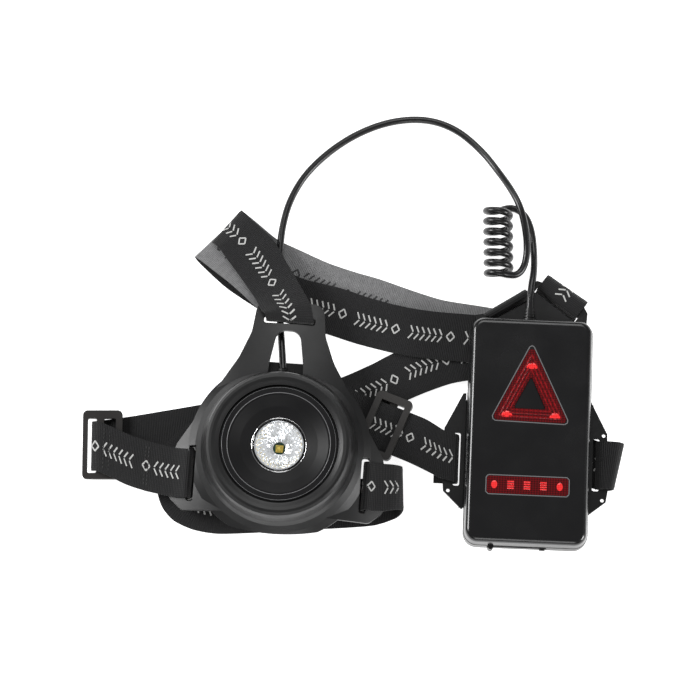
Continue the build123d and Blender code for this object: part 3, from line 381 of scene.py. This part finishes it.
def webbing(name, light):
    """Ribbed narrow weave: UV x runs across the strap in mm, y along it in mm."""
    m, n, l, b = new_mat(name)
    uv = n.new("ShaderNodeUVMap")
    uv.uv_map = "UVMap"
    sep = n.new("ShaderNodeSeparateXYZ")
    l.new(uv.outputs["UV"], sep.inputs["Vector"])

    def wave(src, freq, phase=0.0):
        mul = n.new("ShaderNodeMath")
        mul.operation = "MULTIPLY_ADD"
        mul.inputs[1].default_value = freq * 2 * math.pi
        mul.inputs[2].default_value = phase
        l.new(src, mul.inputs[0])
        s = n.new("ShaderNodeMath")
        s.operation = "SINE"
        l.new(mul.outputs[0], s.inputs[0])
        return s.outputs[0]

    ribs = wave(sep.outputs["X"], 0.95)
    picks = wave(sep.outputs["Y"], 1.15)
    prod = n.new("ShaderNodeMath")
    prod.operation = "MULTIPLY"
    l.new(ribs, prod.inputs[0])
    l.new(picks, prod.inputs[1])
    height = n.new("ShaderNodeMath")
    height.operation = "MULTIPLY_ADD"
    height.inputs[1].default_value = 0.6
    l.new(prod.outputs[0], height.inputs[0])
    l.new(picks, height.inputs[2])
    bump = n.new("ShaderNodeBump")
    bump.inputs["Strength"].default_value = 0.55
    bump.inputs["Distance"].default_value = 0.00022
    l.new(height.outputs[0], bump.inputs["Height"])
    l.new(bump.outputs["Normal"], b.inputs["Normal"])
    noise = n.new("ShaderNodeTexNoise")
    noise.inputs["Scale"].default_value = 0.35
    noise.inputs["Detail"].default_value = 6
    l.new(uv.outputs["UV"], noise.inputs["Vector"])
    mix = n.new("ShaderNodeMix")
    mix.data_type = "RGBA"
    mix.inputs["A"].default_value = (*[c * 0.75 for c in light], 1)
    mix.inputs["B"].default_value = (*[c * 1.35 for c in light], 1)
    l.new(noise.outputs["Fac"], mix.inputs["Factor"])
    # painted shade and highlight: the base colour is multiplied darker in the weave's hollows and lighter on
    # its crests, by the same height as the bump
    shade = n.new("ShaderNodeMix")
    shade.data_type = "RGBA"
    shade.blend_type = "MULTIPLY"
    shade.inputs["Factor"].default_value = 0.5
    rng = n.new("ShaderNodeMapRange")
    rng.inputs["From Min"].default_value = -1.6
    rng.inputs["From Max"].default_value = 1.6
    rng.inputs["To Min"].default_value = 0.35
    rng.inputs["To Max"].default_value = 1.25
    l.new(height.outputs[0], rng.inputs["Value"])
    l.new(mix.outputs["Result"], shade.inputs["A"])
    l.new(rng.outputs["Result"], shade.inputs["B"])
    l.new(shade.outputs["Result"], b.inputs["Base Color"])
    b.inputs["Roughness"].default_value = 0.82
    b.inputs["Sheen Weight"].default_value = 0.12
    b.inputs["Specular IOR Level"].default_value = 0.3
    return m


WEB = webbing("web_black", (0.011, 0.011, 0.0115))
WEBGREY = webbing("web_inner", (0.20, 0.20, 0.203))
WOVEN = plain("woven_pattern", (0.50, 0.50, 0.49), 0.8, bump=0.7, scale=1800)
WOVENDARK = plain("woven_pattern_dark", (0.03, 0.03, 0.031), 0.85, bump=0.7, scale=1800)


# ---------- helpers ----------
def link(name, mesh, mats, body="base"):
    o = bpy.data.objects.new(name, mesh)
    bpy.context.scene.collection.objects.link(o)
    for m in mats:
        mesh.materials.append(m)
    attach(o, body)
    return o


def from_bm(name, bm, mats, body="base", smooth=True, matrix=None):
    if matrix is not None:
        bm.transform(matrix)
    mesh = bpy.data.meshes.new(name)
    for f in bm.faces:
        f.smooth = smooth
    bm.to_mesh(mesh)
    bm.free()
    return link(name, mesh, mats, body)


def lathe(name, profile, mats, body, matrix, steps=96, fn=None):
    """Closed profile of (r, z) in mm turned about Z; fn(angle, r, z) may change a point."""
    bm = bmesh.new()
    rings = []
    for k in range(steps):
        a = 2 * math.pi * k / steps
        ring = []
        for r, z in profile:
            rr, zz = fn(a, r, z) if fn else (r, z)
            ring.append(bm.verts.new((rr * math.cos(a) * MM, rr * math.sin(a) * MM, zz * MM)))
        rings.append(ring)
    n = len(profile)
    for k in range(steps):
        p, q = rings[k], rings[(k + 1) % steps]
        for j in range(n):
            bm.faces.new((p[j], q[j], q[(j + 1) % n], p[(j + 1) % n]))
    bmesh.ops.recalc_face_normals(bm, faces=bm.faces)
    return from_bm(name, bm, mats, body, matrix=matrix)


# ---------- stage ----------
def floor_and_light():
    bm = bmesh.new()
    bmesh.ops.create_grid(bm, x_segments=1, y_segments=1, size=6)
    mesh = bpy.data.meshes.new("floor")
    bm.to_mesh(mesh)
    bm.free()
    o = bpy.data.objects.new("floor", mesh)
    bpy.context.scene.collection.objects.link(o)
    o.location = (0, 0, -0.0003)
    m, n, l, b = new_mat("floor_white")
    b.inputs["Base Color"].default_value = (0.93, 0.93, 0.93, 1)
    b.inputs["Roughness"].default_value = 0.9
    b.inputs["Emission Color"].default_value = (1, 1, 1, 1)
    b.inputs["Emission Strength"].default_value = 0.85
    mesh.materials.append(m)
    lights = []
    for name, at, size, power, aim in [
        ("key", (-0.95, 0.25, 0.62), 0.45, 11.0, (0, 0, 0)),
        ("fill", (1.0, -0.40, 0.48), 0.40, 9.0, (0, 0, 0)),
        ("top", (0.05, 0.85, 1.0), 0.7, 5.0, (0, 0, 0)),
        ("front", (0.0, -0.9, 0.6), 0.5, 2.5, (0, 0, 0)),
    ]:
        d = bpy.data.lights.new(name, "AREA")
        d.shape = "SQUARE"
        d.size = size
        d.energy = power
        lo_ = bpy.data.objects.new(name, d)
        bpy.context.scene.collection.objects.link(lo_)
        lo_.location = at
        lo_.rotation_mode = "QUATERNION"
        lo_.rotation_quaternion = (Vector(aim) - Vector(at)).to_track_quat("-Z", "Y")
        lights.append(lo_)
    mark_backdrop(o, *lights)
    w = bpy.data.worlds.new("world")
    bpy.context.scene.world = w
    w.use_nodes = True
    w.node_tree.nodes["Background"].inputs["Color"].default_value = (1, 1, 1, 1)
    w.node_tree.nodes["Background"].inputs["Strength"].default_value = 0.2


floor_and_light()
sc = bpy.context.scene
sc.render.engine = "CYCLES"
sc.view_settings.view_transform = "Standard"
sc.view_settings.exposure = 0.0


def use(names, mat):
    for name in names:
        o = nodes[name]
        o.data.materials.clear()
        o.data.materials.append(mat)


use(["chest_plate", "lens_seal", "power_button", "case_seal"], RUBBER)
use(["lamp_gland", "pack_gland", "usb_cover", "pack_seal"], RUBBER)
use(["lamp_case", "socket_ring", "head_shell", "back_plate", "rear_shell", "tact_switch"], PLASTIC)
use(["bezel_ring", "front_cover", "triangle_baffle"], GLOSS)
use(["hood"], HOODM)
use(["front_lens"], GLASS)
use(["reflector"], CHROME)
use(["led_board", "driver_board", "tail_board", "charge_board"], BOARD)
use(["led_emitter"], LED)
use(["triangle_leds", "bar_leds"], CHIP)
use(["heat_sink"], ALU)
use(["pivot_pins", "case_screws", "pack_screws", "usb_socket"], STEEL)
use(["battery_cell"], CELL)
use(["foam_pad"], FOAM)
use(["triangle_lens", "bar_lens"], RED)
use(["left_slider", "right_slider"], SLIDERM)


# ---------- webbing ----------
def catmull(p0, p1, p2, p3, t):
    a = (p2 - p0) * 0.5
    b = (p3 - p1) * 0.5
    t2, t3 = t * t, t * t * t
    return p1 * (2 * t3 - 3 * t2 + 1) + a * (t3 - 2 * t2 + t) + p2 * (-2 * t3 + 3 * t2) + b * (t3 - t2)


class Band:
    """A strap as closely spaced stations: left edge, right edge, normal and length along, in mm."""

    def __init__(self, stations, step=1.3):
        L = [Vector(s[0]) - Vector((OX, OY, 0)) for s in stations]
        R = [Vector(s[1]) - Vector((OX, OY, 0)) for s in stations]
        self.left, self.right, self.mark = [], [], []
        n = len(L)
        for k in range(n - 1):
            gap = ((L[k + 1] + R[k + 1]) - (L[k] + R[k])).length / 2
            many = max(3, int(gap / step))
            for j in range(many):
                t = j / many
                out = []
                for P in (L, R):
                    p0, p1, p2, p3 = P[max(k - 1, 0)], P[k], P[k + 1], P[min(k + 2, n - 1)]
                    d = (p2 - p1).length
                    if (p1 - p0).length > 2.5 * d:
                        p0 = p1 - (p1 - p0).normalized() * d * 1.6
                    if (p3 - p2).length > 2.5 * d:
                        p3 = p2 + (p3 - p2).normalized() * d * 1.6
                    smooth = catmull(p0, p1, p2, p3, t)
                    out.append(smooth.lerp(p1.lerp(p2, t), 0.25))
                self.left.append(out[0])
                self.right.append(out[1])
                self.mark.append(k + t)
        self.left.append(L[-1])
        self.right.append(R[-1])
        self.mark.append(n - 1)
        self.mid = [(a + b) / 2 for a, b in zip(self.left, self.right)]
        self.s = [0.0]
        for a, b in zip(self.mid, self.mid[1:]):
            self.s.append(self.s[-1] + (b - a).length)
        self.normal = []
        m = len(self.mid)
        for k in range(m):
            a, b = max(k - 1, 0), min(k + 1, m - 1)
            al = (self.left[b] + self.right[b]) - (self.left[a] + self.right[a])
            self.normal.append((self.right[k] - self.left[k]).cross(al).normalized())
        self.length = self.s[-1]

    def at(self, s, t, off):
        """Point on the strap: s mm along, t from 0 (left) to 1 (right), off mm along the normal."""
        s = min(max(s, 0.0), self.length - 1e-6)
        lo_, hi_ = 0, len(self.s) - 1
        while hi_ - lo_ > 1:
            c = (lo_ + hi_) // 2
            if self.s[c] <= s:
                lo_ = c
            else:
                hi_ = c
        f = (s - self.s[lo_]) / max(self.s[hi_] - self.s[lo_], 1e-6)
        a = self.left[lo_].lerp(self.left[hi_], f)
        b = self.right[lo_].lerp(self.right[hi_], f)
        nn = self.normal[lo_].lerp(self.normal[hi_], f)
        return a.lerp(b, t) + nn * off

    def s_of(self, mark):
        for k, m in enumerate(self.mark):
            if m >= mark:
                return self.s[k]
        return self.length


COLS = 14


def strap_mesh(name, band, plus_mat, minus_mat, seed):
    """The visible webbing: a thin band with thicker edges and a slight ripple."""
    bm = bmesh.new()
    uv = bm.loops.layers.uv.new("UVMap")
    top, bottom = [], []
    rng = random.Random(seed)
    ph = [rng.uniform(0, 6.28) for _ in range(4)]
    for k, s in enumerate(band.s):
        rt, rb = [], []
        wob = 0.10 * math.sin(s / 9.0 + ph[0]) + 0.07 * math.sin(s / 4.1 + ph[1])
        for j in range(COLS + 1):
            t = j / COLS
            edge = min(t, 1 - t) * STRAP_W
            half = 0.52 if edge > 1.8 else (0.6 if edge > 0.5 else 0.42)
            ripple = wob * math.sin(math.pi * t * 2 + ph[2]) * 0.7
            a = band.left[k].lerp(band.right[k], t)
            nn = band.normal[k]
            rt.append(bm.verts.new((a + nn * (half + ripple * 0.5)) * MM))
            rb.append(bm.verts.new((a - nn * (half - ripple * 0.5)) * MM))
        top.append(rt)
        bottom.append(rb)

    def quad(vs, uvs, mat):
        f = bm.faces.new(vs)
        f.material_index = mat
        for lp, c in zip(f.loops, uvs):
            lp[uv].uv = c
        return f

    for k in range(len(band.s) - 1):
        s0, s1 = band.s[k], band.s[k + 1]
        for j in range(COLS):
            x0, x1 = j / COLS * STRAP_W, (j + 1) / COLS * STRAP_W
            u4 = [(x0, s0), (x1, s0), (x1, s1), (x0, s1)]
            quad((top[k][j], top[k][j + 1], top[k + 1][j + 1], top[k + 1][j]), u4, 0)
            low = (bottom[k][j + 1], bottom[k][j], bottom[k + 1][j], bottom[k + 1][j + 1])
            quad(low, [u4[1], u4[0], u4[3], u4[2]], 1)
        for j in (0, COLS):
            u4 = [(0, s0), (1, s0), (1, s1), (0, s1)]
            a, b, c, d = top[k][j], bottom[k][j], bottom[k + 1][j], top[k + 1][j]
            quad((b, a, d, c) if j == 0 else (a, b, c, d), u4, 1)
    for k in (0, len(band.s) - 1):
        for j in range(COLS):
            vs = (top[k][j], bottom[k][j], bottom[k][j + 1], top[k][j + 1])
            quad(vs if k else vs[::-1], [(0, 0), (1, 0), (1, 1), (0, 1)], 1)
    bmesh.ops.recalc_face_normals(bm, faces=bm.faces)
    o = from_bm(name, bm, [plus_mat, minus_mat], "base")
    o.data.set_sharp_from_angle(angle=math.radians(50))
    return o


def chevron():
    """One arrow of the generic woven pattern: two slanted dashes meeting on the middle line."""
    return [((-0.9, -3.4), (0.9, -0.35)), ((0.9, 0.35), (-0.9, 3.4))]


def diamond():
    corners = [(-2.0, 0), (0, 2.5), (2.0, 0), (0, -2.5)]
    return [(corners[k], corners[(k + 1) % 4]) for k in range(4)]


MARK_OFF = 0.64
MARK_HALF_W = 0.36
THREAD_HALF_W = 0.22


def woven_marks(name, band, s0, s1, side, mat, start=0):
    """Generic woven pattern of arrows and diamonds, laid on one side of a strap as flat raised threads."""
    bm = bmesh.new()
    s = s0
    k = start
    while s < s1 - 4:
        pick = k % 8
        k += 1
        lines = diamond() if pick == 6 else chevron()
        c = s + (2.6 if pick == 6 else 1.3)
        s += 5.4 if pick == 6 else (3.9 if pick in (5, 7) else 2.9)
        if pick == 7:
            continue
        for (x0, y0), (x1, y1) in lines:
            d = Vector((x1 - x0, y1 - y0, 0))
            many = max(2, int(d.length / 0.9))
            w = Vector((-d.y, d.x, 0)).normalized() * MARK_HALF_W
            prev = None
            for j in range(many + 1):
                q = Vector((x0, y0, 0)) + d * (j / many)
                pts = []
                for sign in (-1, 1):
                    e = q + w * sign
                    pts.append(band.at(c + e.x, 0.5 + e.y / STRAP_W, side * MARK_OFF))
                pair = [bm.verts.new(p * MM) for p in pts]
                if prev:
                    bm.faces.new((prev[0], prev[1], pair[1], pair[0]))
                prev = pair
    bmesh.ops.recalc_face_normals(bm, faces=bm.faces)
    o = from_bm(name, bm, [mat], "base", smooth=False)
    return o


def stitches(name, band, rows, side, mat, pitch=1.9, run=1.2, off=0.66):
    """Short thread stitches in rows across the strap, each row given as (s, t0, t1)."""
    bm = bmesh.new()
    for s, t0, t1 in rows:
        many = int(abs(t1 - t0) * STRAP_W / pitch)
        for j in range(many):
            t = t0 + (t1 - t0) * (j + 0.5) / many
            h = run / 2 / STRAP_W
            a, b = band.at(s, t - h, side * off), band.at(s, t + h, side * off)
            n = (band.at(s, t, side * (off + 0.3)) - band.at(s, t, side * off)).normalized()
            w = (b - a).normalized().cross(n) * THREAD_HALF_W
            vs = [bm.verts.new(p * MM) for p in (a - w, a + w, b + w, b - w)]
            c, d = a.lerp(b, 0.25), a.lerp(b, 0.75)
            crest = (c - w * 0.5, c + w * 0.5, d + w * 0.5, d - w * 0.5)
            top = [bm.verts.new((p + n * 0.18) * MM) for p in crest]
            bm.faces.new(top)
            for q in range(4):
                bm.faces.new((vs[q], vs[(q + 1) % 4], top[(q + 1) % 4], top[q]))
    bmesh.ops.recalc_face_normals(bm, faces=bm.faces)
    return from_bm(name, bm, [mat], "base")


shoulder = Band(SHOULDER_STRAP)
left_band = Band(LEFT_SIDE_STRAP)
right_band = Band(RIGHT_SIDE_STRAP)

o = strap_mesh("shoulder_webbing", shoulder, WEBGREY, WEB, seed=3)
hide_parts("shoulder_strap")
o = strap_mesh("left_webbing", left_band, WEB, WEB, seed=5)
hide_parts("left_side_strap")
o = strap_mesh("right_webbing", right_band, WEB, WEB, seed=7)
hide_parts("right_side_strap")

woven_marks("shoulder_pattern", shoulder, 4, shoulder.length - 4, -1, WOVEN)
woven_marks("shoulder_pattern_inner", shoulder, 4, shoulder.length - 4, 1, WOVENDARK)
woven_marks("left_pattern", left_band, left_band.s_of(6), left_band.s_of(12), -1, WOVEN, start=1)
woven_marks("left_pattern_far", left_band, left_band.s_of(18), left_band.length - 3, 1, WOVEN, start=2)
woven_marks("right_pattern", right_band, 6, right_band.s_of(9), -1, WOVEN, start=3)
woven_marks("right_pattern_far", right_band, right_band.s_of(13), right_band.s_of(33), 1, WOVEN, start=5)


# ---------- cable: one continuous curve with its coil ----------
def shifted(p):
    return Vector((p[0] - OX, p[1] - OY, p[2]))


COIL_R, COIL_TURNS, COIL_Y0, COIL_Y1 = 6.1, 6.61, 49.6, 85.0
HELIX = []
STEPS = 14
TOTAL = int(COIL_TURNS * STEPS)
for k in range(TOTAL + 1):
    a = math.radians(50 + 360 * COIL_TURNS * k / TOTAL)
    y = COIL_Y0 + (COIL_Y1 - COIL_Y0) * k / TOTAL
    wob = 0.25 * math.sin(k * 0.9)
    HELIX.append((72.9 + (COIL_R + wob * 0.5) * math.cos(a), y, 7.9 + COIL_R * math.sin(a)))
route = [shifted(p) for p in LAMP_CABLE[:-1] + [(82.2, 49.6, 10.9)] + HELIX + PACK_CABLE[1:]]
cd = bpy.data.curves.new("cable", "CURVE")
cd.dimensions = "3D"
cd.bevel_depth = CORD_R * MM
cd.bevel_resolution = 6
cd.use_fill_caps = True
cd.resolution_u = 8
sp = cd.splines.new("NURBS")
sp.points.add(len(route) - 1)
for q, p in zip(sp.points, route):
    q.co = (p.x * MM, p.y * MM, p.z * MM, 1)
sp.order_u = 3
sp.use_endpoint_u = True
cable = bpy.data.objects.new("cable", cd)
bpy.context.scene.collection.objects.link(cable)
cd.materials.append(CABLEM)
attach(cable, "base")
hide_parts("cable_lamp_run", "cable_coil", "cable_pack_run")


# ---------- fine pieces on the pack and straps ----------
def strip(bm, a, b, width, z, matrix, rise=0.12):
    """A thin raised bar between two points of a frame, in mm."""
    p, q = Vector((a[0], a[1], z)), Vector((b[0], b[1], z))
    w = (q - p).normalized().cross(Vector((0, 0, 1))) * (width / 2)
    low = [p - w, p + w, q + w, q - w]
    high = [p - w * 0.6, p + w * 0.6, q + w * 0.6, q - w * 0.6]
    lv = [bm.verts.new(matrix @ (v * MM)) for v in low]
    hv = [bm.verts.new(matrix @ ((v + Vector((0, 0, rise))) * MM)) for v in high]
    bm.faces.new(hv)
    for k in range(4):
        bm.faces.new((lv[k], lv[(k + 1) % 4], hv[(k + 1) % 4], hv[k]))


def shrink(points, d):
    """Move each side of a closed outline inward by d."""
    n = len(points)
    pairs = [(points[k], points[(k + 1) % n]) for k in range(n)]
    area = sum(a[0] * b[1] - b[0] * a[1] for a, b in pairs)
    sign = 1 if area > 0 else -1
    sides = []
    for k in range(n):
        a, b = Vector(points[k]), Vector(points[(k + 1) % n])
        t = (b - a).normalized()
        nrm = Vector((-t.y, t.x)) * sign
        sides.append((a + nrm * d, t))
    out = []
    for k in range(n):
        (a, t), (b, u) = sides[k - 1], sides[k]
        den = t.x * u.y - t.y * u.x
        f = ((b.x - a.x) * u.y - (b.y - a.y) * u.x) / den
        out.append((a.x + t.x * f, a.y + t.y * f))
    return out


TRI = [(0.1, 42.6), (-18.7, 4.3), (19.1, 3.5)]
TOP_Z = 22.7


def blob(bm, u, v, ru, rv, z, matrix, rise=0.16, many=16):
    """A low dome over one of the lamps behind the lens, shown bright by a painted glow."""
    ring = []
    mid = []
    for k in range(many):
        a = 2 * math.pi * k / many
        for out, f, h in ((ring, 1.0, z), (mid, 0.6, z + rise)):
            p = Vector((u + ru * f * math.cos(a), v + rv * f * math.sin(a), h))
            out.append(bm.verts.new(matrix @ (p * MM)))
    bm.faces.new(mid)
    for k in range(many):
        m = (k + 1) % many
        bm.faces.new((ring[k], ring[m], mid[m], mid[k]))


def triangle_edges():
    """Long ribs of the triangle lens, three running round it, drawn in a brighter red with a faint glow: a
    painted highlight.
    """
    bm = bmesh.new()
    for d, width in ((2.2, 0.7), (3.9, 0.7), (5.5, 0.6)):
        pts = shrink(TRI, d)
        for k in range(3):
            strip(bm, pts[k], pts[(k + 1) % 3], width, TOP_Z, PACK)
    bmesh.ops.recalc_face_normals(bm, faces=bm.faces)
    return from_bm("triangle_ridges", bm, [RED_RIB_PAINTED_HIGHLIGHT], "base", smooth=False)


def painted_lamp_glows():
    """Spots and short stripes where the small red lamps sit behind the two lenses, made bright red with
    emission: a painted glow.
    """
    bm = bmesh.new()
    for u, v in ((0.4, 31.7), (-11.3, 7.2), (12.4, 7.0)):
        blob(bm, u, v, 2.4, 1.6, TOP_Z, PACK)
        for a in (-1.9, 1.9):
            blob(bm, u + a, v - 0.6, 0.9, 0.8, TOP_Z, PACK, 0.1, 8)
    for k in range(5):
        u = -16.3 + k * 8.0
        if k in (0, 4):
            blob(bm, u, -28.0, 1.5, 2.0, TOP_Z, PACK)
            continue
        for v in (-29.6, -28.5, -27.4, -26.3):
            strip(bm, (u - 1.6, v), (u + 1.6, v), 0.72, TOP_Z, PACK, 0.1)
    bmesh.ops.recalc_face_normals(bm, faces=bm.faces)
    return from_bm("painted_lamp_glows", bm, [RED_PAINTED_GLOW], "base", smooth=False)


def lens_rims():
    """Fine light edge of the two window recesses of the cover, drawn as pale grey strips: a painted
    highlight.
    """
    bm = bmesh.new()
    pts = shrink(TRI, -0.45)
    cut = []
    for k in range(3):
        a, b, c = Vector(pts[k - 1]), Vector(pts[k]), Vector(pts[(k + 1) % 3])
        cut.append(tuple(b + (a - b).normalized() * 2.6))
        cut.append(tuple(b + (a - b).normalized() * 0.9 + (c - b).normalized() * 0.9))
        cut.append(tuple(b + (c - b).normalized() * 2.6))
    for k in range(9):
        strip(bm, cut[k], cut[(k + 1) % 9], 0.5, 22.5, PACK, 0.12)
    box = [(-19.2, -32.75), (19.2, -32.75), (20.3, -31.6), (20.3, -24.4)]
    box += [(19.2, -23.25), (-19.2, -23.25), (-20.3, -24.4), (-20.3, -31.6)]
    for k in range(8):
        strip(bm, box[k], box[(k + 1) % 8], 0.5, 22.5, PACK, 0.12)
    bmesh.ops.recalc_face_normals(bm, faces=bm.faces)
    return from_bm("lens_rims", bm, [RIM_PAINTED_HIGHLIGHT], "base", smooth=False)


HEAD = LAMP @ Matrix.Translation((0, 0, BALL_Z * MM))


def reflector_cut():
    """Cut inner face of the reflector: 24 flutes in staggered rows, just in front of the bowl; its chrome
    gives off a faint white painted glow.
    """
    face = [(3.2, -4.5), (4.7, -3.8), (6.1, -2.95), (7.5, -1.75), (8.8, -0.4), (9.9, 1.0)]
    face += [(10.8, 2.4), (11.6, 4.1)]
    back = [(11.9, 4.1), (10.95, 1.9), (8.95, -0.65), (6.05, -3.2), (3.1, -4.65)]
    rows = {p: k for k, p in enumerate(face)}

    def flute(a, r, z):
        if (r, z) not in rows:
            return r, z
        side = 1 if rows[(r, z)] % 2 else -1
        return r * (1 - 0.02 + 0.02 * side * math.cos(24 * a)), z

    o = lathe("reflector_cut", face + back, [CHROMECUT_PAINTED_GLOW], "head", HEAD, steps=96, fn=flute)
    for p in o.data.polygons:
        p.use_smooth = False
    return o


def ring_line(name, r, z, t, mat):
    prof = [(r + t * math.cos(k * math.pi / 4), z + t * math.sin(k * math.pi / 4)) for k in range(8)]
    return lathe(name, prof, [mat], "head", HEAD)


triangle_edges()
painted_lamp_glows()
lens_rims()
reflector_cut()
ring_line("lens_rim_line", 13.35, 5.3, 0.2, CHROME)
# the two bezel lines are pale grey rings on the bezel edges: a painted highlight
ring_line("bezel_inner_line", 25.2, 9.75, 0.2, RIM_PAINTED_HIGHLIGHT)
ring_line("bezel_outer_line", 27.75, 9.72, 0.16, RIM_PAINTED_HIGHLIGHT)

s1 = left_band.s_of(7.6)
s_slider = left_band.s_of(11)
slider_rows = [(s_slider - 3.0, 0.08, 0.92), (s_slider - 6.0, 0.08, 0.92)]
stitches("left_stitches", left_band, slider_rows, -1, DARKTHREAD)
stitches("left_bar_tack", left_band, [(s1 + 4.0, 0.1, 0.9), (s1 + 5.6, 0.1, 0.9)], -1, DARKTHREAD)
stitches("right_stitches", right_band, [(right_band.s_of(7.6) + 2.5, 0.1, 0.9)], -1, DARKTHREAD)


SIZE["low"], SIZE["high"] = [list(v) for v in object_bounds()]
